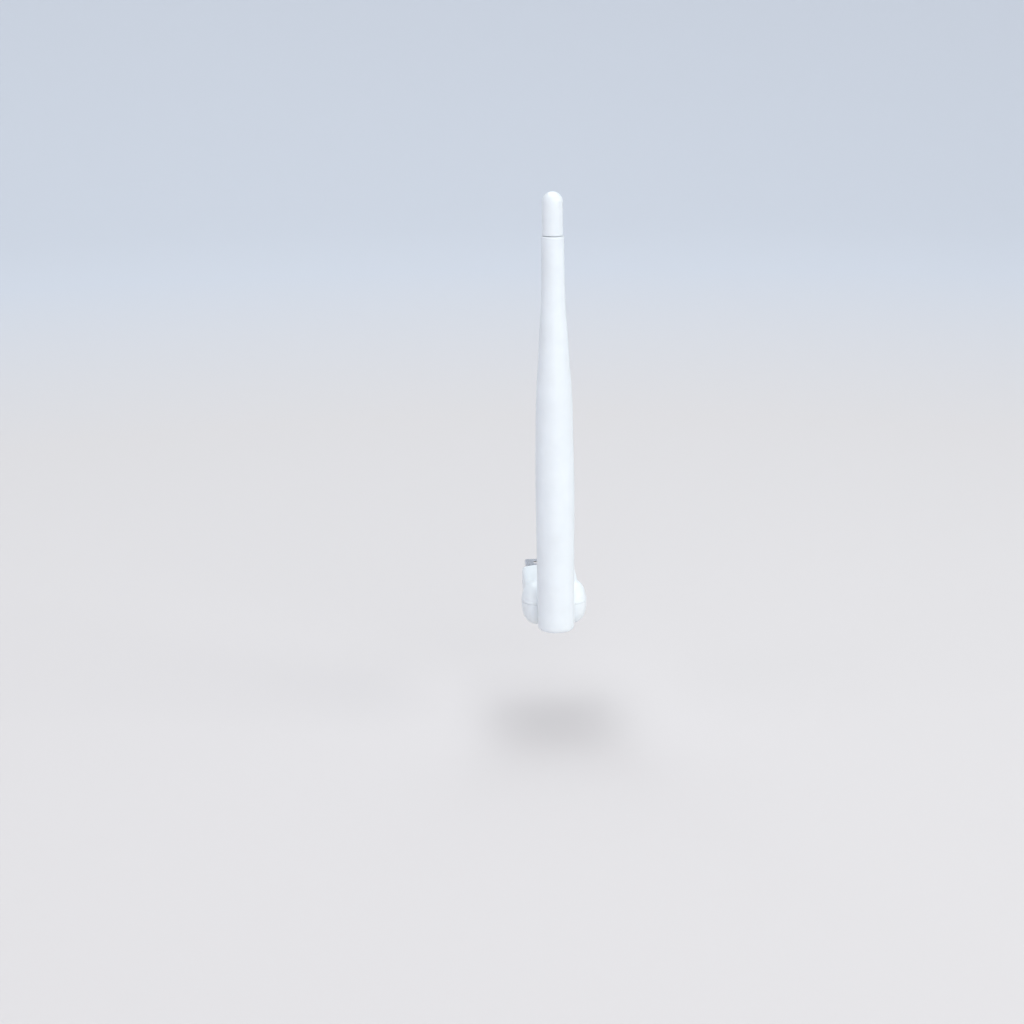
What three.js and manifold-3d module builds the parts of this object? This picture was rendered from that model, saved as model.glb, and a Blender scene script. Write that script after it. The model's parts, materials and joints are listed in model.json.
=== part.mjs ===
// A USB wifi adapter: a short white stick with a USB-A plug at one end and, at the other,
// two round hinge cheeks that hold a long tapered antenna. Millimetres, +Z up.
// The origin is the middle of the housing's plug-end face, on the plug's axis.
// +Y runs towards the plug's tip, so the antenna stands on the -Y side.
import * as THREE from 'three';
import { mergeVertices } from 'three/addons/utils/BufferGeometryUtils.js';
import Module from 'manifold-3d';

const wasm = await Module();
wasm.setup();

// ---- driving dimensions ----
const BODY = { halfWidth: 7.3, crown: 3.8, shoulder: 3.2, corner: 1.05, bevel: 0.4 };
const PARTING = { z: 0.7, gap: 0.1 };
const WALL = 1.1;
const PIVOT_Y = -26;
const BARREL = { radius: 5.95, halfWidth: 8.68, domeStart: 4.5, domePower: 2.3 };
const SLOT = { halfWidth: 4.25, radius: 6.3 };
const CAVITY = { front: -18.4, back: -1.2 };
const CHAMBER = { inner: 5.3, outer: 7.6, radius: 4.7 };
const COAX_CHANNEL = { x: -6.05, halfWidth: 0.7, from: -24, to: -17.8, bottom: -0.8, top: 1.5 };

const SHELL = { halfWidth: 6, halfHeight: 2.25, wall: 0.3, corner: 0.6, tip: 12, root: -5.4 };
const SHELL_WINDOW = { x: 2.6, width: 2.1, y: 6.9, length: 2.4 };
const TONGUE = { halfWidth: 5.55, bottom: -1.85, top: -0.1, tip: 11.4, root: -4.9 };
const CONTACT = { width: 1, thickness: 0.2, bottom: -0.3, solderEnd: -7 };
const CONTACT_GROOVE = { width: 1.3, floor: -0.4 };
const CONTACTS = [
  { x: -3.5, tip: 10.6 },
  { x: -1, tip: 9.6 },
  { x: 1, tip: 9.6 },
  { x: 3.5, tip: 10.6 },
];

const BOARD = { halfWidth: 5.8, front: -17.9, back: -5.5, top: -0.4, thickness: 0.8 };
const BOARD_POST = { width: 0.9, reach: 2.9 };
const POSTS_ABOVE = [[5.1, -17.2], [2.25, -6.4], [-2.25, -6.4]];
const POSTS_BELOW = [[5.1, -17.2], [-5.1, -17.2], [5.1, -6.4], [-5.1, -6.4]];
const CAN = { halfWidth: 3.7, front: -16.6, back: -9.3, height: 1.5, wall: 0.2 };
const CHIPS_ON_TOP = [
  { name: 'wifi_chip', x: 0, y: -13, width: 5, length: 5, height: 0.9 },
  { name: 'crystal', x: 4.8, y: -12.4, width: 1.6, length: 2, height: 0.6 },
  { name: 'status_led', x: 4.8, y: -8.3, width: 0.8, length: 1.6, height: 0.6 },
];
const CHIPS_UNDERNEATH = [
  { name: 'voltage_regulator', x: -2.2, y: -9, width: 1.6, length: 2.9, height: 0.75 },
  { name: 'memory_chip', x: 1.8, y: -13.6, width: 3.8, length: 4.6, height: 0.7 },
  { name: 'power_inductor', x: -2.2, y: -13.4, width: 2.5, length: 2, height: 0.75 },
];
const CAPACITOR = { width: 0.6, length: 1.1, height: 0.5 };
const CAPACITOR_PLACES = [[-4.8, -8.4], [-4.8, -10.6], [4.8, -10.2], [4.8, -15.2]];

const HUB = { radius: 5.9, halfWidth: 3.85, neckTop: 4.9, neckBottom: -4.8 };
const PIN = { radius: 1.5, bore: 0.75, inner: 2, head: 2.3, headAt: 5.4, headThick: 0.5 };
const WASHER = { inner: 1.8, outer: 4.2, from: 3.9, to: 4.2 };
const RUN = 0.3;
const SEAT = 0.1;

const MAST_Y = PIVOT_Y - 9;
const MAST_FOOT = -5.3;
const FOOT_ROUND = 1.25;
const MAST_STATIONS = [
  [FOOT_ROUND, 4.82], [9.2, 4.88], [20.2, 4.96], [38.2, 5.1], [56.2, 4.89], [64.2, 4.64], [72.2, 4.12],
  [80.2, 3.66], [87.2, 3.2], [95.2, 2.99], [104.5, 2.95],
];
const MAST_MOUTH = { height: 104.9, radius: 2.55 };
const MAST_BORE = [[1.5, 3.2], [58.2, 3.2], [84.2, 1.75], [104.9, 1.75]];
const CAP = { foot: 105.2, height: 116.3, radius: 2.7, rim: 0.35, spigot: 1.55, spigotLength: 4.5 };
const FEED_CHANNEL = { halfWidth: 1.3, halfHeight: 1.3 };
const COAX_RADIUS = 0.45;
const SLEEVE = { inner: 1.6, outer: 1.9, from: 16, to: 46 };
const RADIATOR = { radius: 0.3, from: 48.5, to: 78 };
const SPACERS = [
  { name: 'spacer_lower', z: 12, height: 2.2, bore: 0.75, radius: 3 },
  { name: 'spacer_upper', z: 54, height: 2, bore: 0.6, radius: 2.6 },
];

const AROUND = 40;

// ---- materials ----
const colour = (hex, roughness, metalness = 0) =>
  new THREE.MeshStandardMaterial({ color: hex, roughness, metalness });
const whiteShell = colour(0xeef1f6, 0.42);
const whiteMast = colour(0xeaeef6, 0.38);
const plugSteel = colour(0xc3c6ca, 0.28, 1);
const insulator = colour(0xf0efe9, 0.5);
const gold = colour(0xd9b25a, 0.3, 1);
const boardGreen = colour(0x1d5a3a, 0.45);
const chipBlack = colour(0x1b1c1e, 0.55);
const tinPlate = colour(0xb4b7ba, 0.35, 1);
const ceramic = colour(0xb59a78, 0.6);
const ledClear = colour(0xe8f4d8, 0.25);
const coaxGrey = colour(0x6d7076, 0.55);
const brass = colour(0xc79a4b, 0.35, 1);
const copper = colour(0xb87345, 0.35, 1);
const steelPin = colour(0xa9acb0, 0.3, 1);
const washerDark = colour(0x2c2d30, 0.7);
const foamWhite = colour(0xdedfe0, 0.8);
const CHIP_FINISH = { crystal: tinPlate, status_led: ledClear };

// ---- geometry helpers ----
const solid = (geometry) => {
  const bare = geometry.index ? geometry.toNonIndexed() : geometry.clone();
  bare.deleteAttribute('normal');
  bare.deleteAttribute('uv');
  const merged = mergeVertices(bare, 1e-4);
  const vertProperties = new Float32Array(merged.attributes.position.array);
  const triVerts = new Uint32Array(merged.index.array);
  return new wasm.Manifold(new wasm.Mesh({ numProp: 3, vertProperties, triVerts }));
};

const toGeometry = (body) => {
  const { vertProperties, triVerts } = body.getMesh();
  const geometry = new THREE.BufferGeometry();
  geometry.setAttribute('position', new THREE.BufferAttribute(vertProperties, 3));
  geometry.setIndex(new THREE.BufferAttribute(triVerts, 1));
  return geometry;
};

const box = (x0, x1, y0, y1, z0, z1) =>
  new THREE.BoxGeometry(x1 - x0, y1 - y0, z1 - z0)
    .translate((x0 + x1) / 2, (y0 + y1) / 2, (z0 + z1) / 2);

// An outline drawn in X and Z, run along Y from y0 to y1.
const alongY = (shape, y0, y1, bevel = 0) => {
  const bevelled = {
    bevelEnabled: bevel > 0,
    bevelSize: bevel,
    bevelThickness: bevel,
    bevelOffset: -bevel,
    bevelSegments: 2,
  };
  const geometry = new THREE.ExtrudeGeometry(shape, {
    depth: y1 - y0 - 2 * bevel,
    curveSegments: 6,
    ...bevelled,
  });
  return geometry.rotateX(Math.PI / 2).translate(0, y1 - bevel, 0);
};

// An outline drawn in Y and Z, run along X from x0 to x1.
const yzToX = new THREE.Matrix4().set(0, 0, 1, 0, 1, 0, 0, 0, 0, 1, 0, 0, 0, 0, 0, 1);
const alongX = (shape, x0, x1) =>
  new THREE.ExtrudeGeometry(shape, { depth: x1 - x0, bevelEnabled: false, curveSegments: 12 })
    .applyMatrix4(yzToX)
    .translate(x0, 0, 0);

const points = (pairs) => pairs.map(([a, b]) => new THREE.Vector2(a, b));

// A profile of [radius, height] turned about Z, or about the hinge's axis.
const latheZ = (profile, x = 0, y = 0, around = AROUND) =>
  new THREE.LatheGeometry(points(profile), around).rotateX(Math.PI / 2).translate(x, y, 0);
const latheHinge = (profile, around = AROUND) =>
  new THREE.LatheGeometry(points(profile), around)
    .rotateZ(-Math.PI / 2)
    .translate(0, PIVOT_Y, 0);

const ring = (inner, outer, from, to) =>
  [[inner, from], [outer, from], [outer, to], [inner, to], [inner, from]];
const disc = (radius, from, to) => [[0, from], [radius, from], [radius, to], [0, to]];

const roundedRectangle = (halfWidth, halfHeight, radius) => {
  const shape = new THREE.Shape();
  shape.moveTo(halfWidth, -halfHeight + radius);
  shape.absarc(halfWidth - radius, halfHeight - radius, radius, 0, Math.PI / 2);
  shape.absarc(-halfWidth + radius, halfHeight - radius, radius, Math.PI / 2, Math.PI);
  shape.absarc(-halfWidth + radius, -halfHeight + radius, radius, Math.PI, 1.5 * Math.PI);
  shape.absarc(halfWidth - radius, -halfHeight + radius, radius, 1.5 * Math.PI, 2 * Math.PI);
  return shape;
};

const mirrored = (profile) => profile.map(([radius, x]) => [radius, -x]).reverse();

// ---- the two housing shells ----
// The stick's section: crowned above and below, with rounded corners.
const bodySection = (inset) => {
  const half = BODY.halfWidth - inset;
  const crown = BODY.crown - inset;
  const shoulder = BODY.shoulder - inset;
  const corner = Math.max(BODY.corner - inset, 0.3);
  const shape = new THREE.Shape();
  shape.moveTo(half, 0);
  shape.lineTo(half, shoulder - corner);
  shape.quadraticCurveTo(half, shoulder, half - corner, shoulder + 0.05);
  shape.quadraticCurveTo(0, 2 * crown - shoulder - 0.05, corner - half, shoulder + 0.05);
  shape.quadraticCurveTo(-half, shoulder, -half, shoulder - corner);
  shape.lineTo(-half, corner - shoulder);
  shape.quadraticCurveTo(-half, -shoulder, corner - half, -shoulder - 0.05);
  shape.quadraticCurveTo(0, shoulder + 0.05 - 2 * crown, half - corner, -shoulder - 0.05);
  shape.quadraticCurveTo(half, -shoulder, half, corner - shoulder);
  return shape;
};

// Half of the hinge barrel's outline, from its middle to the tip of one domed end.
const barrelProfile = (radius, domeStart, domeEnd) => {
  const steps = 8;
  const profile = [[0, 0], [radius, 0]];
  for (let i = 0; i <= steps; i += 1) {
    const angle = (i / steps) * (Math.PI / 2);
    const power = 2 / BARREL.domePower;
    const r = i === steps ? 0 : radius * Math.cos(angle) ** power;
    profile.push([r, domeStart + (domeEnd - domeStart) * Math.sin(angle) ** power]);
  }
  return profile;
};

const bothEnds = (profile) =>
  solid(latheHinge(profile)).add(solid(latheHinge(mirrored(profile))));

const housingOutside = () => {
  const stick = solid(alongY(bodySection(0), PIVOT_Y, 0, BODY.bevel));
  return stick.add(bothEnds(barrelProfile(BARREL.radius, BARREL.domeStart, BARREL.halfWidth)));
};

// A dished chamber inside each cheek, where the pins' heads turn.
const chamberProfile = () => {
  const { inner, outer, radius } = CHAMBER;
  return [[0, inner], [radius - 0.5, inner], [radius, inner + 0.5], [radius, outer - 1.4],
    [radius - 0.6, outer - 0.6], [radius - 1.9, outer], [0, outer]];
};

const housingInside = () => {
  const cavity = alongY(bodySection(WALL), CAVITY.front, CAVITY.back);
  const plugGate = alongY(
    roundedRectangle(SHELL.halfWidth + SEAT, SHELL.halfHeight + SEAT, SHELL.corner),
    SHELL.root - SEAT,
    1,
  );
  const { x, halfWidth, from, to, bottom, top } = COAX_CHANNEL;
  const coaxWay = box(x - halfWidth, x + halfWidth, from, to, bottom, top);
  const pinBore = disc(PIN.radius + RUN, SLOT.halfWidth - 1, CHAMBER.inner + 0.5);
  return solid(cavity)
    .add(solid(plugGate))
    .add(solid(coaxWay))
    .add(bothEnds(chamberProfile()))
    .add(bothEnds(pinBore));
};

// The slot between the cheeks: open above, below and in front, dished behind the hub.
const hubSlot = () => {
  const dish = solid(latheHinge(disc(SLOT.radius, -SLOT.halfWidth, SLOT.halfWidth), 64));
  const front = box(-SLOT.halfWidth, SLOT.halfWidth, -40, PIVOT_Y, -10, 10);
  return dish.add(solid(front));
};

// Small posts that hold the board: it lies on the lower shell's, and the upper shell's press on it.
const boardPosts = (places, from, to) => {
  const half = BOARD_POST.width / 2;
  return places
    .map(([x, y]) => solid(box(x - half, x + half, y - half, y + half, from, to)))
    .reduce((all, post) => all.add(post));
};

// The lower cheeks are notched above the bores, so that the pins drop in from the top.
const pinNotches = () => {
  const half = PIN.radius + RUN;
  const notch = (x0, x1) => solid(box(x0, x1, PIVOT_Y - half, PIVOT_Y + half, 0, 2));
  return notch(SLOT.halfWidth - 1, CHAMBER.inner + 0.3)
    .add(notch(-CHAMBER.inner - 0.3, 1 - SLOT.halfWidth));
};

const housing = housingOutside().subtract(housingInside()).subtract(hubSlot());
const ABOVE = solid(box(-20, 20, -60, 20, PARTING.z + PARTING.gap / 2, 20));
const BELOW = solid(box(-20, 20, -60, 20, -20, PARTING.z - PARTING.gap / 2));

const upperHousing = () => {
  const posts = boardPosts(POSTS_ABOVE, BOARD.top + SEAT, BOARD_POST.reach);
  return toGeometry(housing.intersect(ABOVE).add(posts));
};

const lowerHousing = () => {
  const posts = boardPosts(POSTS_BELOW, -BOARD_POST.reach, BOARD.top - BOARD.thickness - SEAT);
  return toGeometry(housing.intersect(BELOW).subtract(pinNotches()).add(posts));
};

// ---- the plug ----
const usbShell = () => {
  const { halfWidth, halfHeight, wall, corner, tip, root } = SHELL;
  const outside = alongY(roundedRectangle(halfWidth, halfHeight, corner), root, tip);
  const bore = roundedRectangle(halfWidth - wall, halfHeight - wall, corner - wall);
  let shell = solid(outside).subtract(solid(alongY(bore, root - 1, tip + 1)));
  const { x, width, y, length } = SHELL_WINDOW;
  [-x, x].forEach((centre) => {
    const window = box(centre - width / 2, centre + width / 2, y, y + length, -5, 5);
    shell = shell.subtract(solid(window));
  });
  return toGeometry(shell);
};

const usbTongue = () => {
  const { halfWidth, bottom, top, tip, root } = TONGUE;
  let tongue = solid(box(-halfWidth, halfWidth, root, tip, bottom, top));
  CONTACTS.forEach((contact) => {
    const half = CONTACT_GROOVE.width / 2;
    const end = contact.tip + 0.3;
    const groove = box(contact.x - half, contact.x + half, root - 1, end, CONTACT_GROOVE.floor, 1);
    tongue = tongue.subtract(solid(groove));
  });
  return toGeometry(tongue);
};

// A contact blade: soldered flat to the board, raised in the mouth and dipped at its tip.
const usbContact = ({ x, tip }) => {
  const { width, thickness, bottom, solderEnd } = CONTACT;
  const rise = 0.2;
  const blade = new THREE.Shape(points([
    [solderEnd, bottom], [1, bottom], [2, bottom + rise], [tip - 1, bottom + rise], [tip, bottom],
    [tip, bottom + thickness], [tip - 1, bottom + rise + thickness],
    [2, bottom + rise + thickness], [1, bottom + thickness], [solderEnd, bottom + thickness],
  ]));
  return alongX(blade, x - width / 2, x + width / 2);
};

// ---- the circuit board and what is soldered to it ----
const circuitBoard = () => {
  const { halfWidth, front, back, top, thickness } = BOARD;
  return box(-halfWidth, halfWidth, front, back, top - thickness, top);
};

const onTop = ({ x, y, width, length, height }) => {
  const base = BOARD.top + SEAT;
  return box(x - width / 2, x + width / 2, y - length / 2, y + length / 2, base, base + height);
};

const underneath = ({ x, y, width, length, height }) => {
  const base = BOARD.top - BOARD.thickness - SEAT;
  return box(x - width / 2, x + width / 2, y - length / 2, y + length / 2, base - height, base);
};

const shieldCan = () => {
  const { halfWidth, front, back, height, wall } = CAN;
  const base = BOARD.top + SEAT;
  const hollow = box(
    wall - halfWidth, halfWidth - wall, front + wall, back - wall, base - 1, base + height - wall,
  );
  return toGeometry(
    solid(box(-halfWidth, halfWidth, front, back, base, base + height)).subtract(solid(hollow)),
  );
};

// ---- the coaxial lead, in two stretches that meet inside the hollow hinge pin ----
const tube = (radius, route) => {
  const ringShape = new THREE.Shape().absarc(0, 0, radius, 0, 2 * Math.PI);
  const curve = new THREE.CatmullRomCurve3(
    route.map(([x, y, z]) => new THREE.Vector3(x, y, z)), false, 'centripetal',
  );
  const steps = Math.min(60, Math.round(curve.getLength() / (3.2 * radius)));
  return new THREE.ExtrudeGeometry(ringShape, {
    steps,
    extrudePath: curve,
    curveSegments: 4,
    bevelEnabled: false,
  });
};

const coaxInStick = () => tube(COAX_RADIUS, [
  [-4.7, -13, 0.3], [-4.8, -14.6, 0.3], [-5.2, -16.4, 0.25], [-5.85, -18.2, 0.1], [-6.1, -20, 0],
  [-6.3, -21.7, 0], [-6.75, -23.2, 0], [-6.95, -24.5, 0], [-6.8, -25.5, 0], [-6.3, PIVOT_Y, 0],
  [-5.5, PIVOT_Y, 0], [-4.6, PIVOT_Y, 0],
]);

const coaxInMast = () => tube(COAX_RADIUS, [
  [-4.2, PIVOT_Y, 0], [-2, PIVOT_Y, 0], [-0.9, PIVOT_Y - 0.7, 0], [-0.4, PIVOT_Y - 2.4, 0],
  [0, PIVOT_Y - 5, 0], [0, MAST_Y + 1.6, 0.1], [0, MAST_Y + 0.4, 0.9], [0, MAST_Y, 2.6],
  [0, MAST_Y, 6], [0, MAST_Y, 20], [0, MAST_Y, 42.5],
]);

// ---- the hinge pins and washers, mirrored left and right ----
const hingePin = (side, hollow) => {
  const { radius, bore, inner, head, headAt, headThick } = PIN;
  const end = headAt + headThick;
  const profile = hollow
    ? [[bore, inner], [radius, inner], [radius, headAt], [head, headAt], [head, end], [bore, end],
      [bore, inner]]
    : [[0, inner], [radius, inner], [radius, headAt], [head, headAt], [head, end], [0, end]];
  return latheHinge(side > 0 ? profile : mirrored(profile), 32);
};

const frictionWasher = (side) => {
  const profile = ring(WASHER.inner, WASHER.outer, WASHER.from, WASHER.to);
  return latheHinge(side > 0 ? profile : mirrored(profile), 32);
};

// ---- the antenna's shell: a tapered mast moulded with the hub that turns between the cheeks ----
const mastProfile = () => {
  const curve = new THREE.SplineCurve(points(MAST_STATIONS.map(([height, r]) => [r, height])));
  const footRound = [0, 1, 2, 3].map((i) => {
    const angle = (i / 4) * (Math.PI / 2);
    const r = MAST_STATIONS[0][1] - FOOT_ROUND * (1 - Math.sin(angle));
    return [r, FOOT_ROUND * (1 - Math.cos(angle))];
  });
  const side = curve.getPoints(26).map((point) => [point.x, point.y]);
  const profile = [[0, 0], ...footRound, ...side];
  profile.push([MAST_MOUTH.radius, MAST_MOUTH.height], [0, MAST_MOUTH.height]);
  return profile.map(([r, height]) => [r, height + MAST_FOOT]);
};

const mastBore = () => {
  const wall = MAST_BORE.map(([height, r]) => [r, height + MAST_FOOT]);
  const floor = wall[0][1];
  const open = wall[wall.length - 1];
  return [[0, floor], ...wall, [open[0], open[1] + 1], [0, open[1] + 1]];
};

const antennaRadome = () => {
  const { radius, halfWidth, neckTop, neckBottom } = HUB;
  const mast = solid(latheZ(mastProfile(), 0, MAST_Y));
  const hub = solid(latheHinge(disc(radius, -halfWidth, halfWidth)));
  const neck = solid(box(-halfWidth, halfWidth, MAST_Y, PIVOT_Y, neckBottom, neckTop));
  const pinSeat = PIN.radius + SEAT;
  const pinBore = solid(latheHinge(disc(pinSeat, -halfWidth - 1, halfWidth + 1), 32));
  const feed = FEED_CHANNEL;
  const feedWay = solid(box(
    -feed.halfWidth, feed.halfWidth, MAST_Y, PIVOT_Y, -feed.halfHeight, feed.halfHeight,
  ));
  const bore = solid(latheZ(mastBore(), 0, MAST_Y, 32));
  return toGeometry(mast.add(hub).add(neck).subtract(pinBore).subtract(feedWay).subtract(bore));
};

const tipCap = () => {
  const { foot, height, radius, rim, spigot, spigotLength } = CAP;
  const domeSteps = 8;
  const profile = [[0, foot - spigotLength], [spigot, foot - spigotLength], [spigot, foot],
    [radius - rim, foot], [radius, foot + rim]];
  for (let i = 0; i <= domeSteps; i += 1) {
    const angle = (i / domeSteps) * (Math.PI / 2);
    const r = i === domeSteps ? 0 : radius * Math.cos(angle);
    profile.push([r, height - radius + radius * Math.sin(angle)]);
  }
  return latheZ(profile.map(([r, h]) => [r, h + MAST_FOOT]), 0, MAST_Y, 32);
};

// ---- what the antenna's shell holds ----
const dipoleSleeve = () =>
  latheZ(ring(SLEEVE.inner, SLEEVE.outer, SLEEVE.from, SLEEVE.to), 0, MAST_Y, 24);
const radiatorWire = () =>
  latheZ(disc(RADIATOR.radius, RADIATOR.from, RADIATOR.to), 0, MAST_Y, 12);
const spacer = ({ z, height, bore, radius }) =>
  latheZ(ring(bore, radius, z - height / 2, z + height / 2), 0, MAST_Y, 24);

// ---- the assembly ----
const part = (name, geometry, material) => {
  const mesh = new THREE.Mesh(geometry, material);
  mesh.name = name;
  return mesh;
};

const adapter = new THREE.Group();
adapter.add(
  part('upper_housing', upperHousing(), whiteShell),
  part('lower_housing', lowerHousing(), whiteShell),
  part('usb_shell', usbShell(), plugSteel),
  part('usb_tongue', usbTongue(), insulator),
  part('circuit_board', circuitBoard(), boardGreen),
  part('rf_shield_can', shieldCan(), tinPlate),
  part('coax_in_stick', coaxInStick(), coaxGrey),
  part('hinge_pin_left', hingePin(-1, true), steelPin),
  part('hinge_pin_right', hingePin(1, false), steelPin),
  part('friction_washer_left', frictionWasher(-1), washerDark),
  part('friction_washer_right', frictionWasher(1), washerDark),
  part('antenna_radome', antennaRadome(), whiteMast),
  part('tip_cap', tipCap(), whiteMast),
  part('coax_in_antenna', coaxInMast(), coaxGrey),
  part('dipole_sleeve', dipoleSleeve(), brass),
  part('radiator_wire', radiatorWire(), copper),
);
CONTACTS.forEach((contact, i) => {
  adapter.add(part(`usb_contact_${i + 1}`, usbContact(contact), gold));
});
CHIPS_ON_TOP.forEach((chip) => {
  adapter.add(part(chip.name, onTop(chip), CHIP_FINISH[chip.name] ?? chipBlack));
});
CHIPS_UNDERNEATH.forEach((chip) => {
  adapter.add(part(chip.name, underneath(chip), chipBlack));
});
CAPACITOR_PLACES.forEach(([x, y], i) => {
  adapter.add(part(`capacitor_${i + 1}`, onTop({ x, y, ...CAPACITOR }), ceramic));
});
SPACERS.forEach((ringSpacer) => {
  adapter.add(part(ringSpacer.name, spacer(ringSpacer), foamWhite));
});

export default adapter;
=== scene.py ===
"""The looks of a USB wifi adapter: a white stick with two hinge cheeks and a tapered antenna.

The moulded shells are level surfaces of smooth fields, so every edge has its small moulding
radius. Fields work in millimetres in the part's own frame, and meshes are made in metres.
"""
import json
import math

import bmesh
import bpy
import numpy as np
from mathutils import Matrix, Vector


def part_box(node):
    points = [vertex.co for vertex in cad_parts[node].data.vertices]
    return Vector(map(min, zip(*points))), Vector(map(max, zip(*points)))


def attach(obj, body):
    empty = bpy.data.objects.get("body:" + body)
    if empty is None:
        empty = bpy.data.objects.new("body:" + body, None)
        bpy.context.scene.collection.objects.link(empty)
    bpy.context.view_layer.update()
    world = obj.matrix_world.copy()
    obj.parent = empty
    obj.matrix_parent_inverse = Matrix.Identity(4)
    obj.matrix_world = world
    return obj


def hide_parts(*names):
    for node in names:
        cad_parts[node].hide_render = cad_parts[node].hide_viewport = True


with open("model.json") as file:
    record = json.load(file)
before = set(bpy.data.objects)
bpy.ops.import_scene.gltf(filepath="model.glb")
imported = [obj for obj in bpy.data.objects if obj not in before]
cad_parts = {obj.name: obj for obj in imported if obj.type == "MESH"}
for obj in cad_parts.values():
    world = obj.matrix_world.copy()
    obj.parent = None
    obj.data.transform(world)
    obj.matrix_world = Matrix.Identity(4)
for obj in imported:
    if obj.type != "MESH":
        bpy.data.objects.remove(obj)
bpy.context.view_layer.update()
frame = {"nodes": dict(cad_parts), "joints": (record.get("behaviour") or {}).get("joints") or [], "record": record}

MM = 0.001
NODES = frame["nodes"]
HINGE = frame["joints"][0]
PIVOT_Y = HINGE["pos_m"][1] / MM


def box_mm(node):
    """A CAD node's lowest and highest corners, in millimetres."""
    low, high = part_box(node)
    return np.array(low) / MM, np.array(high) / MM


# ---- sizes read from the frame, and moulding details, in millimetres ----
UPPER_HIGH = box_mm("upper_housing")[1]
LOWER_LOW, LOWER_HIGH = box_mm("lower_housing")
MAST_LOW, MAST_HIGH = box_mm("antenna_radome")
CAP_LOW, CAP_HIGH = box_mm("tip_cap")
PLUG_LOW, PLUG_HIGH = box_mm("usb_shell")

# the hinge barrel, whose two ends are the cheeks
BARREL_RADIUS = -LOWER_LOW[2]
BARREL_HALF = LOWER_HIGH[0]
DOME_START = 4.5
DOME_POWER = 2.3  # 2 would make the domes elliptical, and more makes them squarer

# the stick's body
BODY_HALF = 7.3
BODY_CROWN = 3.8  # half its thickness in the middle
BODY_SHOULDER = 3.25  # half its thickness where the corners start
BODY_CORNER = 1.05
BODY_END_ROUND = 0.45
CHEEK_FILLET = 0.25

# the slot that the antenna's hub turns in
SLOT_HALF = 4.25
SLOT_RADIUS = 6.3
SLOT_ROUND = 0.25

# the room inside the shells
WALL = 1.1
CAVITY_FRONT = -18.4
CAVITY_BACK = -1.2
CHAMBER_INNER = 5.3
PLUG_GAP = 0.1
PIN_RADIUS = 1.5
PIN_BORE_GAP = 0.3
PIN_BORE_PAST = 0.5
LEAD_X, LEAD_Y = -6.05, -21
LEAD_HALF, LEAD_HEIGHT, LEAD_REACH = 0.7, 0.8, 3.2
INSIDE_ROUND = 0.12

# the joint between the two shells
PARTING_LOW = LOWER_HIGH[2]
PARTING_HIGH = PARTING_LOW + 0.05
PARTING_ROUND = 0.1
LIP = 0.08  # how far the upper shell's lip stands out
LIP_HEIGHT = 0.75
LIP_RAMP = 0.12

# the antenna's mast, and the hub and neck that carry it
MAST_Y = MAST_LOW[1] + (MAST_HIGH[0] - MAST_LOW[0]) / 2
MAST_FOOT = -5.3
MAST_MOUTH = MAST_HIGH[2]
MOUTH_ROUND = 0.3
FOOT_ROUND = 1.25
MAST_FILLET = 0.5
HUB_RADIUS = 5.9
HUB_HALF = 3.85
HUB_ROUND = 0.4
NECK_TOP = 4.9
NECK_BOTTOM = -4.8
NECK_FILLET = 0.9
HUB_PIN_GAP = 0.1
MAST_FLOOR = 1.5
BORE_WIDE, BORE_NARROW = 3.2, 1.75
BORE_TAPER = [MAST_FOOT + 58, MAST_FOOT + 84]  # heights where it starts and stops narrowing
FEED_HALF = 1.3
FEED_REACH = 4.5
BORE_ROUND = 0.1


# ---- fields: negative inside, about one millimetre per millimetre ----
def round_or(a, b, radius):
    """Joins two solids with a fillet."""
    u = np.maximum(radius - a, 0)
    v = np.maximum(radius - b, 0)
    return np.maximum(radius, np.minimum(a, b)) - np.sqrt(u * u + v * v)


def round_and(a, b, radius):
    """Keeps what two solids share, with a rounded edge."""
    return -round_or(-a, -b, radius)


def cut(a, b, radius):
    """Takes b away from a, with a rounded edge."""
    return round_and(a, -b, radius)


def turned(x, y, z):
    """Distance from the hinge's axis."""
    return np.hypot(y - PIVOT_Y, z)


def barrel(x, y, z):
    """The hinge barrel: round, with domed ends."""
    r = turned(x, y, z)
    out = np.maximum(np.abs(x) - DOME_START, 0) / (BARREL_HALF - DOME_START)
    size = (out ** DOME_POWER + (r / BARREL_RADIUS) ** DOME_POWER) ** (1 / DOME_POWER)
    return (size - 1) * BARREL_RADIUS


def stick(x, y, z, inset=0.0):
    """The stick's crowned bar, without its ends."""
    bow = (x / (BODY_HALF - BODY_CORNER)) ** 2
    faces = np.abs(z) - (BODY_CROWN - inset) + (BODY_CROWN - BODY_SHOULDER) * bow
    sides = np.abs(x) - (BODY_HALF - inset)
    return round_and(faces, sides, max(BODY_CORNER - inset, 0.3))


def hub_slot(x, y, z):
    """The slot between the cheeks: open at the antenna's end and dished behind the hub."""
    dish = turned(x, y, z) - SLOT_RADIUS
    return np.maximum(np.abs(x) - SLOT_HALF, np.minimum(dish, y - PIVOT_Y))


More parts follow.
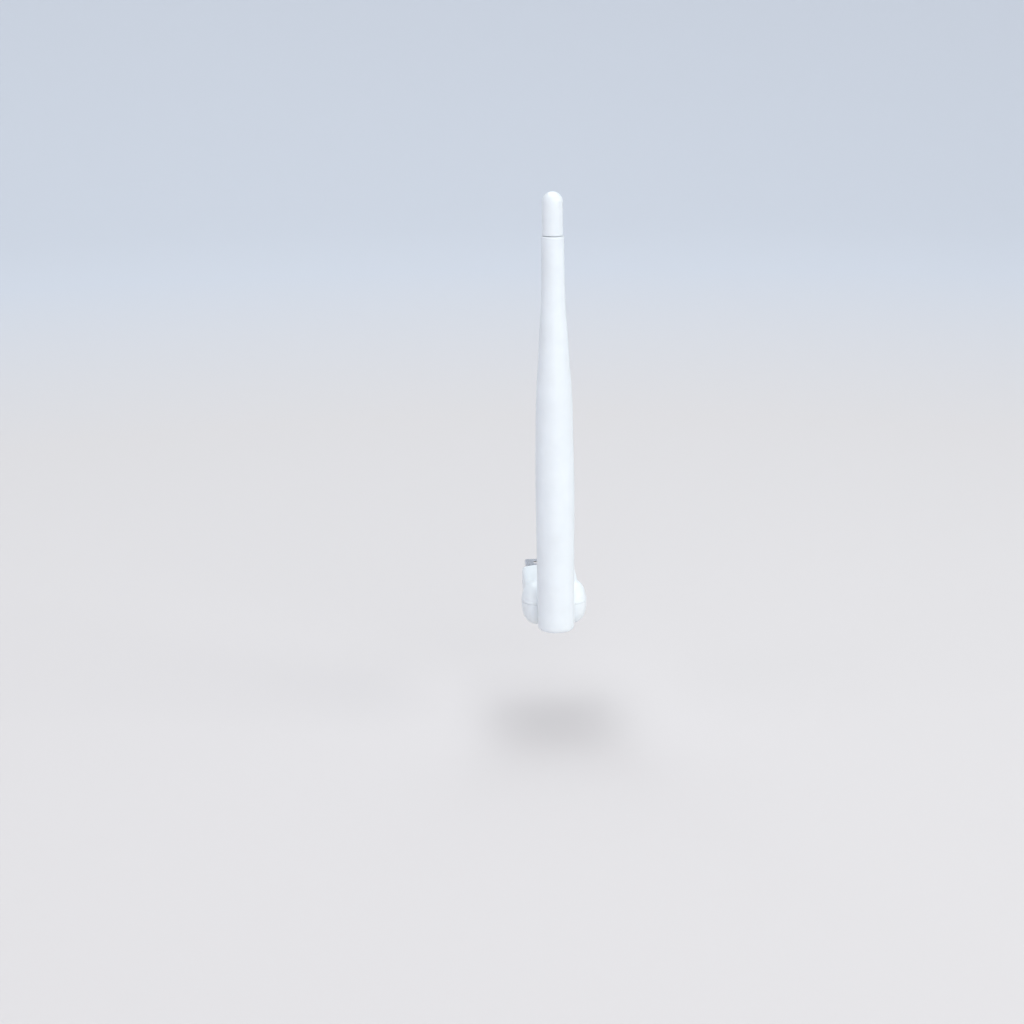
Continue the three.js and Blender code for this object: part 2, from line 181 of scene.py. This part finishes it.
def housing_hollows(x, y, z):
    """Everything inside the two shells: the board's room, the plug's gate and the cheeks' chambers."""
    room = np.maximum(stick(x, y, z, WALL), np.maximum(CAVITY_FRONT - y, y - CAVITY_BACK))
    gate = np.maximum(np.abs(x) - PLUG_HIGH[0] - PLUG_GAP, np.abs(z) - PLUG_HIGH[2] - PLUG_GAP)
    gate = np.maximum(gate, PLUG_LOW[1] - PLUG_GAP - y)
    pin_bore = turned(x, y, z) - PIN_RADIUS - PIN_BORE_GAP
    pin_bore = np.maximum(pin_bore, np.abs(x) - CHAMBER_INNER - PIN_BORE_PAST)
    chamber = np.maximum(barrel(x, y, z) + WALL, CHAMBER_INNER - np.abs(x))
    lead = np.maximum(np.abs(x - LEAD_X) - LEAD_HALF, np.abs(z) - LEAD_HEIGHT)
    lead = np.maximum(lead, np.abs(y - LEAD_Y) - LEAD_REACH)
    hollows = np.minimum(np.minimum(room, gate), np.minimum(pin_bore, chamber))
    return np.minimum(hollows, lead)


def housing(x, y, z, swell=0.0):
    """Both shells as one body, its outside swollen by a little where asked."""
    bar = round_and(stick(x, y, z), y - UPPER_HIGH[1], BODY_END_ROUND)
    bar = np.maximum(bar, PIVOT_Y - y)
    whole = round_or(bar, barrel(x, y, z), CHEEK_FILLET) - swell
    whole = cut(whole, hub_slot(x, y, z), SLOT_ROUND)
    return cut(whole, housing_hollows(x, y, z), INSIDE_ROUND)


def upper_field(x, y, z):
    """The upper shell, with a lip along its lower edge that stands a little proud."""
    down = np.clip((PARTING_HIGH + LIP_HEIGHT - z) / LIP_RAMP, 0, 1)
    lip = LIP * down * down * (3 - 2 * down)
    return round_and(housing(x, y, z, lip), PARTING_HIGH - z, PARTING_ROUND)


def lower_field(x, y, z):
    return round_and(housing(x, y, z), z - PARTING_LOW, PARTING_ROUND)


def smooth_curve(stations, at):
    """A smooth cubic through (position, value) stations, level beyond its ends."""
    places, values = np.array(stations).T
    slopes = np.gradient(values, places)
    i = np.clip(np.searchsorted(places, at) - 1, 0, len(places) - 2)
    span = places[i + 1] - places[i]
    t = np.clip((at - places[i]) / span, 0, 1)
    a, b = values[i], values[i + 1]
    p, q = slopes[i] * span, slopes[i + 1] * span
    return a + t * (p + t * (3 * (b - a) - 2 * p - q + t * (2 * (a - b) + p + q)))


def mast_stations():
    """Height and radius of the mast's outline, read off the front line of its CAD mesh."""
    found = {}
    low, high = MAST_FOOT + FOOT_ROUND, MAST_MOUTH - MOUTH_ROUND
    for vertex in NODES["antenna_radome"].data.vertices:
        x, y, z = np.array(vertex.co) / MM
        in_front = abs(x) < 1e-3 and y < MAST_Y and vertex.normal.y < -0.5
        if in_front and low - 1e-3 < z < high:
            found[round(z, 3)] = MAST_Y - y
    return sorted(found.items())


MAST_OUTLINE = mast_stations()


def radome_hollows(x, y, z):
    """The mast's bore, the bore for the pins, and the feed that joins them."""
    wall = np.interp(z, BORE_TAPER, [BORE_WIDE, BORE_NARROW])
    bore = np.maximum(np.hypot(x, y - MAST_Y) - wall, MAST_FOOT + MAST_FLOOR - z)
    pins = turned(x, y, z) - PIN_RADIUS - HUB_PIN_GAP
    feed = np.maximum(np.abs(x), np.abs(z)) - FEED_HALF
    feed = np.maximum(feed, np.abs(y - (MAST_Y + PIVOT_Y) / 2) - FEED_REACH)
    return np.minimum(np.minimum(bore, pins), feed)


def radome_field(x, y, z):
    """The mast with the hub and neck that carry it, in one moulding."""
    side = np.hypot(x, y - MAST_Y) - smooth_curve(MAST_OUTLINE, z)
    mast = round_and(side, MAST_FOOT - z, FOOT_ROUND)
    mast = round_and(mast, z - MAST_MOUTH, MOUTH_ROUND)
    tall = np.maximum(z - NECK_TOP, NECK_BOTTOM - z)
    neck = np.maximum(tall, np.maximum(MAST_Y - y, y - PIVOT_Y))
    arm = round_or(turned(x, y, z) - HUB_RADIUS, neck, NECK_FILLET)
    arm = round_and(arm, np.abs(x) - HUB_HALF, HUB_ROUND)
    return cut(round_or(arm, mast, MAST_FILLET), radome_hollows(x, y, z), BORE_ROUND)


# ---- from a field to a mesh ----
def rows(*stretches):
    """Grid coordinates from stretches of (start, end, step), each from the last one's end."""
    parts = []
    for start, end, step in stretches:
        count = max(1, round((end - start) / step))
        parts.append(np.linspace(start, end, count, endpoint=False))
    parts.append(np.array([stretches[-1][1]]))
    return np.concatenate(parts)


def slope_of(field, points):
    """A field's slope at each point, by central differences."""
    step = 1e-4
    grads = []
    for axis in range(3):
        shift = np.zeros(3)
        shift[axis] = step
        ahead = field(*(points + shift).T)
        behind = field(*(points - shift).T)
        grads.append((ahead - behind) / (2 * step))
    return np.stack(grads, 1)


def along(values, axis):
    """A grid's values at the first and the second end of each edge along one axis."""
    first = [slice(None)] * 3
    second = [slice(None)] * 3
    first[axis] = slice(0, -1)
    second[axis] = slice(1, None)
    return values[tuple(first)], values[tuple(second)]


def net_vertices(values, grid):
    """One vertex in each cell that the surface crosses, at the middle of its edge crossings."""
    cells = tuple(n - 1 for n in values.shape)
    total = np.zeros(cells + (3,))
    count = np.zeros(cells)
    for axis in range(3):
        a, b = along(values, axis)
        crossed = np.argwhere((a < 0) != (b < 0))
        index = tuple(crossed.T)
        t = a[index] / (a[index] - b[index])
        spots = np.stack([grid[k][crossed[:, k]] for k in range(3)], 1)
        spots[:, axis] += t * np.diff(grid[axis])[crossed[:, axis]]
        u, v = [k for k in range(3) if k != axis]
        for du in (0, 1):
            for dv in (0, 1):
                cell = crossed.copy()
                cell[:, u] -= du
                cell[:, v] -= dv
                ok = ((cell >= 0) & (cell < np.array(cells))).all(1)
                where = tuple(cell[ok].T)
                np.add.at(total, where, spots[ok])
                np.add.at(count, where, 1)
    used = count > 0
    number = np.full(cells, -1)
    number[used] = np.arange(used.sum())
    return total[used] / count[used][:, None], number


def net_faces(values, number):
    """A quad round each crossed grid edge, facing out."""
    faces = []
    for axis in range(3):
        u, v = (axis + 1) % 3, (axis + 2) % 3
        a, b = along(values < 0, axis)
        for low_inside in (True, False):
            edge = np.argwhere((a == low_inside) & (b != low_inside))
            corners = []
            for du, dv in ((1, 1), (0, 1), (0, 0), (1, 0)):
                cell = edge.copy()
                cell[:, u] -= du
                cell[:, v] -= dv
                corners.append(number[tuple(cell.T)])
            quad = np.stack(corners, 1)
            faces.append(quad if low_inside else quad[:, ::-1])
    return np.concatenate(faces)


PULL_STEPS = 6
TINY = 1e-9  # keeps divisions by a length safe


def from_field(name, field, grid):
    """A closed mesh of a field's zero level, pulled onto it and shaded with its own slope."""
    values = field(*np.meshgrid(*grid, indexing="ij"))
    points, number = net_vertices(values, grid)
    faces = net_faces(values, number)
    reach = 0.5 * min(np.diff(axis).min() for axis in grid)
    for _ in range(PULL_STEPS):
        slope = slope_of(field, points)
        size = (slope ** 2).sum(1) + TINY
        move = -(field(*points.T) / size)[:, None] * slope
        length = np.linalg.norm(move, axis=1, keepdims=True)
        points = points + move * np.minimum(1, reach / np.maximum(length, TINY))
    mesh = bpy.data.meshes.new(name)
    mesh.from_pydata((points * MM).tolist(), [], faces.tolist())
    mesh.shade_smooth()
    normals = slope_of(field, points)
    normals /= np.linalg.norm(normals, axis=1, keepdims=True) + TINY
    mesh.normals_split_custom_set_from_vertices(normals.tolist())
    mesh.update()
    return linked(name, mesh)


# ---- from a mesh to a piece ----
def linked(name, data):
    """An object for a mesh, lamp or camera, in the scene."""
    thing = bpy.data.objects.new(name, data)
    bpy.context.scene.collection.objects.link(thing)
    return thing


def from_bmesh(name, shape):
    """A smooth-shaded object from a bmesh, which is freed."""
    mesh = bpy.data.meshes.new(name)
    shape.to_mesh(mesh)
    shape.free()
    mesh.shade_smooth()
    return linked(name, mesh)


def fine_edge(piece, width):
    """Breaks a piece's sharp edges by a small width in millimetres."""
    bevel = piece.modifiers.new("edge", "BEVEL")
    bevel.width = width * MM
    bevel.segments = 2
    bevel.limit_method = "ANGLE"
    bevel.angle_limit = math.radians(50)


def settle(piece, body, slot, material, *nodes):
    """Puts a finished piece on its body, in place of CAD nodes, with its material."""
    piece.data.materials.clear()
    piece.data.materials.append(material)
    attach(piece, body)
    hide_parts(*nodes)


# ---- materials ----
class Shader:
    """A short way to write a Principled material with procedural detail."""

    def __init__(self, name, colour, roughness, metallic=0.0):
        self.material = bpy.data.materials.new(name)
        self.material.use_nodes = True
        self.nodes = self.material.node_tree.nodes
        self.links = self.material.node_tree.links
        self.skin = self.nodes["Principled BSDF"]
        self.skin.inputs["Base Color"].default_value = (*colour, 1)
        self.skin.inputs["Roughness"].default_value = roughness
        self.skin.inputs["Metallic"].default_value = metallic
        self.place = self.nodes.new("ShaderNodeTexCoord").outputs["Object"]

    def stretched(self, scale):
        mapping = self.nodes.new("ShaderNodeMapping")
        mapping.inputs["Scale"].default_value = scale
        self.links.new(self.place, mapping.inputs["Vector"])
        return mapping.outputs["Vector"]

    def noise(self, scale, detail=2.0, place=None):
        """Noise whose grain is about 1 / scale of a metre."""
        node = self.nodes.new("ShaderNodeTexNoise")
        node.inputs["Scale"].default_value = scale
        node.inputs["Detail"].default_value = detail
        self.links.new(place or self.place, node.inputs["Vector"])
        return node.outputs["Fac"]

    def spread(self, value, low, high):
        """Maps noise, which lives about 0.5, onto low to high."""
        node = self.nodes.new("ShaderNodeMapRange")
        node.inputs["From Min"].default_value = 0.3
        node.inputs["From Max"].default_value = 0.7
        node.inputs["To Min"].default_value = low
        node.inputs["To Max"].default_value = high
        self.links.new(value, node.inputs["Value"])
        return node.outputs["Result"]

    def vary_colour(self, value, dark, light):
        ramp = self.nodes.new("ShaderNodeValToRGB")
        ramp.color_ramp.elements[0].position = 0.32
        ramp.color_ramp.elements[0].color = (*dark, 1)
        ramp.color_ramp.elements[1].position = 0.68
        ramp.color_ramp.elements[1].color = (*light, 1)
        self.links.new(value, ramp.inputs["Fac"])
        self.links.new(ramp.outputs["Color"], self.skin.inputs["Base Color"])

    def vary_roughness(self, value, low, high):
        self.links.new(self.spread(value, low, high), self.skin.inputs["Roughness"])

    def bump(self, value, height, strength=1.0):
        node = self.nodes.new("ShaderNodeBump")
        node.inputs["Distance"].default_value = height
        node.inputs["Strength"].default_value = strength
        self.links.new(value, node.inputs["Height"])
        self.links.new(node.outputs["Normal"], self.skin.inputs["Normal"])


def white_plastic(name, colour, roughness):
    """Satin white moulding: faintly translucent, with a fine spark-eroded grain."""
    shader = Shader(name, colour, roughness)
    dark = tuple(c * 0.97 for c in colour)
    light = tuple(min(c * 1.015, 1) for c in colour)
    shader.vary_colour(shader.noise(160, 3), dark, light)
    shader.vary_roughness(shader.noise(900, 3), roughness - 0.05, roughness + 0.06)
    shader.bump(shader.noise(5200, 2), 0.000012, 0.5)
    shader.skin.inputs["Subsurface Weight"].default_value = 0.12
    shader.skin.inputs["Subsurface Radius"].default_value = (1.0, 0.9, 0.8)
    shader.skin.inputs["Subsurface Scale"].default_value = 0.0008
    shader.skin.inputs["IOR"].default_value = 1.49
    return shader.material


def plated_steel(name, colour, roughness, grain=(2600, 90, 2600)):
    """Rolled sheet or turned bar with fine lines across its grain."""
    shader = Shader(name, colour, roughness, 1.0)
    lines = shader.noise(1.0, 2, shader.stretched(grain))
    shader.vary_roughness(lines, roughness - 0.03, roughness + 0.05)
    smudge = shader.noise(350, 3)
    shader.vary_colour(smudge, tuple(c * 0.95 for c in colour), colour)
    shader.bump(lines, 0.000004, 0.2)
    return shader.material


def plain_plastic(name, colour, roughness, grain=3000):
    shader = Shader(name, colour, roughness)
    shader.vary_colour(shader.noise(700, 3), tuple(c * 0.88 for c in colour), colour)
    shader.vary_roughness(shader.noise(1500, 2), roughness - 0.05, roughness + 0.08)
    shader.bump(shader.noise(grain, 2), 0.00001, 0.5)
    return shader.material


def solder_mask(name, colour):
    """Green lacquer over copper tracks, which stand a little proud."""
    shader = Shader(name, colour, 0.4)
    tracks = shader.nodes.new("ShaderNodeTexVoronoi")
    tracks.distance = "CHEBYCHEV"
    tracks.inputs["Scale"].default_value = 900
    shader.links.new(shader.place, tracks.inputs["Vector"])
    shader.vary_colour(tracks.outputs["Distance"], tuple(c * 0.6 for c in colour), colour)
    shader.bump(tracks.outputs["Distance"], 0.00003, 0.4)
    return shader.material


WHITE_SHELL = white_plastic("housing_white", (0.771, 0.82, 0.849), 0.36)
WHITE_MAST = white_plastic("antenna_white", (0.761, 0.81, 0.844), 0.34)
STEEL = plated_steel("plug_steel", (0.72, 0.72, 0.73), 0.24)
MATERIALS = {
    "plug_steel": STEEL,
    "tongue_plastic": plain_plastic("tongue_white", (0.80, 0.79, 0.75), 0.45),
    "contact_gold": plated_steel("contact_gold", (0.86, 0.62, 0.24), 0.22, (2500, 150, 150)),
    "board_laminate": solder_mask("board_green", (0.02, 0.16, 0.07)),
    "chip_black": plain_plastic("chip_black", (0.02, 0.02, 0.022), 0.5),
    "tin_plate": plated_steel("tin_plate", (0.6, 0.6, 0.6), 0.35),
    "ceramic": plain_plastic("ceramic_tan", (0.45, 0.32, 0.19), 0.55),
    "led_lens": plain_plastic("led_clear", (0.75, 0.85, 0.6), 0.2),
    "coax_jacket": plain_plastic("coax_grey", (0.11, 0.115, 0.125), 0.45),
    "sleeve_brass": plated_steel("sleeve_brass", (0.75, 0.52, 0.22), 0.3),
    "copper_wire": plated_steel("copper_wire", (0.75, 0.36, 0.2), 0.3),
    "hinge_steel": plated_steel("hinge_steel", (0.58, 0.59, 0.6), 0.28),
    "washer_rubber": plain_plastic("washer_black", (0.022, 0.022, 0.024), 0.6),
    "spacer_foam": plain_plastic("spacer_white", (0.72, 0.72, 0.72), 0.7),
}


# ---- pieces ----
# The grids are finest at the slot's walls, the plug's end, the parting line and the mast's mouth.
HOUSING_X = rows(
    (-9.1, -4.6, 0.2), (-4.6, -4.1, 0.07), (-4.1, 4.1, 0.3), (4.1, 4.6, 0.07), (4.6, 9.1, 0.2),
)
HOUSING_Y = rows((-32.5, -19, 0.2), (-19, -1.6, 0.4), (-1.6, 0.3, 0.12))
UPPER_Z = rows((0.55, 1.65, 0.05), (1.65, 6.35, 0.2))
LOWER_Z = rows((-6.3, 0.35, 0.2), (0.35, 0.83, 0.04))


def make_housing(name, field, heights, node):
    piece = from_field(name, field, (HOUSING_X, HOUSING_Y, heights))
    settle(piece, "stick", "housing_plastic", WHITE_SHELL, node)


def make_radome():
    top = MAST_MOUTH
    grid = (
        rows((-5.6, 5.6, 0.24)),
        rows((-40.6, -19.6, 0.24)),
        rows((-6.3, 7, 0.2), (7, top - 1, 0.7), (top - 1, top + 0.3, 0.1)),
    )
    piece = from_field("antenna_shell", radome_field, grid)
    settle(piece, "antenna", "antenna_plastic", WHITE_MAST, "antenna_radome")


AROUND = 96  # segments round the cap and the floor


def lathe(name, profile):
    """A closed turned piece about the mast's axis, from (radius, height) points in mm, pole to pole."""
    shape = bmesh.new()
    rings = []
    for radius, height in profile:
        if radius < 1e-6:
            rings.append([shape.verts.new((0, MAST_Y * MM, height * MM))])
            continue
        ring = []
        for i in range(AROUND):
            angle = 2 * math.pi * i / AROUND
            x = radius * math.cos(angle)
            y = MAST_Y + radius * math.sin(angle)
            ring.append(shape.verts.new((x * MM, y * MM, height * MM)))
        rings.append(ring)
    for lower, upper in zip(rings, rings[1:]):
        for i in range(AROUND):
            j = (i + 1) % AROUND
            corners = [lower[i % len(lower)], lower[j % len(lower)]]
            corners += [upper[j % len(upper)], upper[i % len(upper)]]
            shape.faces.new(list(dict.fromkeys(corners)))
    piece = from_bmesh(name, shape)
    piece.data.set_sharp_from_angle(angle=math.radians(40))
    return piece


def arc(centre_r, centre_z, radius, start, end, steps):
    """Points of an arc in a profile, from start to end in degrees."""
    points = []
    for i in range(steps + 1):
        angle = math.radians(start + (end - start) * i / steps)
        points.append((centre_r + radius * math.cos(angle), centre_z + radius * math.sin(angle)))
    return points


CAP_GAP = 0.12
CAP_RIM = 0.15
SPIGOT_RADIUS = 1.55
SPIGOT_CHAMFER = 0.2


def make_tip_cap():
    """A domed cap on a spigot, which leaves a fine groove above the mast's mouth."""
    radius, base, top = CAP_HIGH[0], CAP_LOW[2], CAP_HIGH[2]
    foot = MAST_MOUTH + CAP_GAP
    profile = [(0, base), (SPIGOT_RADIUS - SPIGOT_CHAMFER, base)]
    profile += [(SPIGOT_RADIUS, base + SPIGOT_CHAMFER), (SPIGOT_RADIUS, foot)]
    profile += arc(radius - CAP_RIM, foot + CAP_RIM, CAP_RIM, -90, 0, 6)
    sides = np.linspace(foot + 1, top - radius - 0.5, 8)
    profile += [(radius, height) for height in sides]
    profile += arc(0, top - radius, radius, 0, 88, 20)
    profile.append((0, top))
    piece = lathe("antenna_tip", profile)
    settle(piece, "antenna", "antenna_plastic", WHITE_MAST, "tip_cap")


SHELL_WALL = 0.3
SHELL_CORNER = 0.6
WINDOW_X = (1.55, 3.65)
WINDOW_Y = (6.9, 9.3)
MOUTH_IN = 0.12
INSIDE_SHARE = 0.6  # the inner skin turns in by less than the outer one
SHELL_HALF, SHELL_HEIGHT = PLUG_HIGH[0], PLUG_HIGH[2]
# places along the plug, each with how far the sheet is turned in there
SHELL_STATIONS = [
    (PLUG_LOW[1], 0), (2, 0), (WINDOW_Y[0], 0), (WINDOW_Y[1], 0), (PLUG_HIGH[1] - 0.3, 0),
    (PLUG_HIGH[1] - 0.12, 0.02), (PLUG_HIGH[1], MOUTH_IN),
]
WINDOW_ROW = 2  # the windows lie between this station and the next


def shell_loop(inset, radius):
    """Points round the shell's section in X and Z, with extra ones at the windows' sides."""
    half_width, half_height = SHELL_HALF - inset, SHELL_HEIGHT - inset
    marks = [-WINDOW_X[1], -WINDOW_X[0], WINDOW_X[0], WINDOW_X[1]]
    points = []
    for side, (cx, cz) in enumerate(((1, 1), (-1, 1), (-1, -1), (1, -1))):
        points += arc(
            cx * (half_width - radius), cz * (half_height - radius), radius, 90 * side, 90 * side + 90, 6
        )
        if side == 0:
            points += [(x, half_height) for x in reversed(marks)]
        if side == 2:
            points += [(x, -half_height) for x in marks]
    return points


def in_window(row, a, b):
    """Whether the quad from section point a to b in this row is cut out for a window."""
    flat = all(abs(abs(z) - SHELL_HEIGHT) < 1e-6 for _, z in (a, b))
    middle = abs(a[0] + b[0]) / 2
    return flat and row == WINDOW_ROW and WINDOW_X[0] < middle < WINDOW_X[1]


def make_usb_shell():
    """Folded steel: a rounded tube with two windows above and two below, and a rolled mouth."""
    section = shell_loop(0, SHELL_CORNER)
    outer = [shell_loop(turn, SHELL_CORNER) for _, turn in SHELL_STATIONS]
    inner = [
        shell_loop(SHELL_WALL - turn * INSIDE_SHARE, SHELL_CORNER - SHELL_WALL)
        for _, turn in SHELL_STATIONS
    ]
    shape = bmesh.new()
    outside, inside = [
        [
            [shape.verts.new((x * MM, y * MM, z * MM)) for x, z in loop]
            for (y, _), loop in zip(SHELL_STATIONS, loops)
        ]
        for loops in (outer, inner)
    ]
    last = len(SHELL_STATIONS) - 1
    for i in range(len(section)):
        j = (i + 1) % len(section)
        for row in range(last):
            ring = [(row, i), (row, j), (row + 1, j), (row + 1, i)]
            if in_window(row, section[i], section[j]):
                for (row_a, a), (row_b, b) in zip(ring, ring[1:] + ring[:1]):
                    quad = [outside[row_a][a], outside[row_b][b], inside[row_b][b], inside[row_a][a]]
                    shape.faces.new(quad)
                continue
            for skin in (outside, inside):
                shape.faces.new([skin[r][k] for r, k in ring])
        for row in (0, last):
            shape.faces.new([outside[row][i], outside[row][j], inside[row][j], inside[row][i]])
    bmesh.ops.recalc_face_normals(shape, faces=shape.faces)
    piece = from_bmesh("plug_shell", shape)
    piece.data.set_sharp_from_angle(angle=math.radians(35))
    fine_edge(piece, 0.05)
    settle(piece, "stick", "plug_steel", STEEL, "usb_shell")


def dress_cad_nodes():
    """Carried-over CAD nodes keep their shape and get their material and a fine edge."""
    shells = {"upper_housing", "lower_housing", "antenna_radome", "tip_cap", "usb_shell"}
    slots = {row["node"]: row["material_slot"] for row in frame["record"]["subparts"]}
    for name, node in NODES.items():
        if name in shells:
            continue
        node.data.materials.clear()
        node.data.materials.append(MATERIALS[slots[name]])
        node.data.set_sharp_from_angle(angle=math.radians(40))
        fine_edge(node, 0.04)


make_housing("housing_top_shell", upper_field, UPPER_Z, "upper_housing")
make_housing("housing_bottom_shell", lower_field, LOWER_Z, "lower_housing")
make_radome()
make_tip_cap()
make_usb_shell()
dress_cad_nodes()


# ---- stage, light and camera ----
FLOOR_Z = -0.035
FLOOR_FLAT = 1.1
FLOOR_RISE = 1.0
PAPER_NEAR = (0.63, 0.61, 0.615)
# the far colour is paler: painted light for the far bowl, where less lamp light falls
PAPER_FAR_PAINTED_LIGHT = (0.595, 0.625, 0.69)
PAPER_REACH = 1.3


def stage_material():
    """Studio paper, warmer near the middle and cooler far from it. The paler far colour is painted light for the
    far bowl, where less lamp light falls.
    """
    shader = Shader("studio_paper", PAPER_NEAR, 0.9)
    length = shader.nodes.new("ShaderNodeVectorMath")
    length.operation = "LENGTH"
    shader.links.new(shader.place, length.inputs[0])
    reach = shader.nodes.new("ShaderNodeMapRange")
    reach.inputs["From Max"].default_value = PAPER_REACH
    shader.links.new(length.outputs["Value"], reach.inputs["Value"])
    # painted light: the paper turns paler towards the far bowl, where less lamp light falls
    shader.vary_colour(reach.outputs["Result"], PAPER_NEAR, PAPER_FAR_PAINTED_LIGHT)
    return shader.material


def make_stage():
    """A pale bowl: a flat floor that curves up on every side."""
    profile = [(FLOOR_FLAT * 0.5, 0.0), (FLOOR_FLAT, 0.0)]
    for angle in np.linspace(0, math.pi / 2, 17)[1:]:
        profile.append((FLOOR_FLAT + FLOOR_RISE * math.sin(angle), FLOOR_RISE * (1 - math.cos(angle))))
    turns = [2 * math.pi * i / AROUND for i in range(AROUND)]
    shape = bmesh.new()
    rings = []
    for radius, height in profile:
        rings.append([
            shape.verts.new((radius * math.cos(turn), radius * math.sin(turn), height + FLOOR_Z))
            for turn in turns
        ])
    shape.faces.new(rings[0])
    for lower, upper in zip(rings, rings[1:]):
        for i in range(AROUND):
            j = (i + 1) % AROUND
            shape.faces.new([lower[i], upper[i], upper[j], lower[j]])
    floor = from_bmesh("studio_floor", shape)
    floor.data.materials.append(stage_material())


LIT_SPOT = Vector((0, -0.03, 0.04))
# name, place, side in metres, watts, colour and spread in degrees
SOFTBOXES = [
    ("key", (0.95, -0.55, 0.45), 0.6, 1.17, (1, 0.99, 0.94), 90),
    ("front", (0.3, -1.6, 0.55), 1.2, 4.5, (1, 0.985, 0.975), 90),
    ("fill", (-0.9, -0.5, 0.35), 0.6, 0.52, (1, 0.9, 0.95), 90),
    ("overhead", (0, 0, 2.4), 3, 40, (0.97, 0.99, 1), 180),
    ("back_top", (0, 0.9, 1.6), 1.5, 15, (0.93, 0.98, 1), 180),
]
SKY_COLOUR = (0.87, 0.93, 1, 1)
SKY_STRENGTH = 0.15


def softbox(name, place, side, power, colour, spread):
    data = bpy.data.lights.new(name, "AREA")
    data.shape = "RECTANGLE"
    data.size = data.size_y = side
    data.spread = math.radians(spread)
    data.energy = power
    data.color = colour
    lamp = linked(name, data)
    lamp.location = place
    lamp.visible_camera = False
    lamp.rotation_mode = "QUATERNION"
    lamp.rotation_quaternion = (LIT_SPOT - Vector(place)).to_track_quat("-Z", "Y")


def light_scene():
    for row in SOFTBOXES:
        softbox(*row)
    world = bpy.data.worlds.new("studio")
    world.use_nodes = True
    sky = world.node_tree.nodes["Background"]
    sky.inputs["Color"].default_value = SKY_COLOUR
    sky.inputs["Strength"].default_value = SKY_STRENGTH
    bpy.context.scene.world = world


CAMERA_AT = Vector((-0.03875, -0.6854, 0.1801))
CAMERA_PITCH = math.radians(13.23)
CAMERA_YAW = math.radians(2.411)
CAMERA_ROLL = math.radians(-0.753)
CAMERA_LENS = 89.4


def make_camera():
    """Looks along its yaw, clockwise from +Y, and down by its pitch, then turns by its roll."""
    forward = Vector((
        math.sin(CAMERA_YAW) * math.cos(CAMERA_PITCH),
        math.cos(CAMERA_YAW) * math.cos(CAMERA_PITCH),
        -math.sin(CAMERA_PITCH),
    ))
    level = forward.cross(Vector((0, 0, 1))).normalized()
    upward = level.cross(forward)
    right = level * math.cos(CAMERA_ROLL) + upward * math.sin(CAMERA_ROLL)
    up = upward * math.cos(CAMERA_ROLL) - level * math.sin(CAMERA_ROLL)
    data = bpy.data.cameras.new("camera")
    data.lens = CAMERA_LENS
    data.sensor_width = 36
    data.clip_start, data.clip_end = 0.01, 20
    camera = linked("camera", data)
    turn = Matrix((right, up, -forward)).transposed().to_4x4()
    camera.matrix_world = Matrix.Translation(CAMERA_AT) @ turn
    bpy.context.scene.camera = camera


make_stage()
light_scene()
make_camera()
bpy.context.scene.view_settings.view_transform = "Standard"
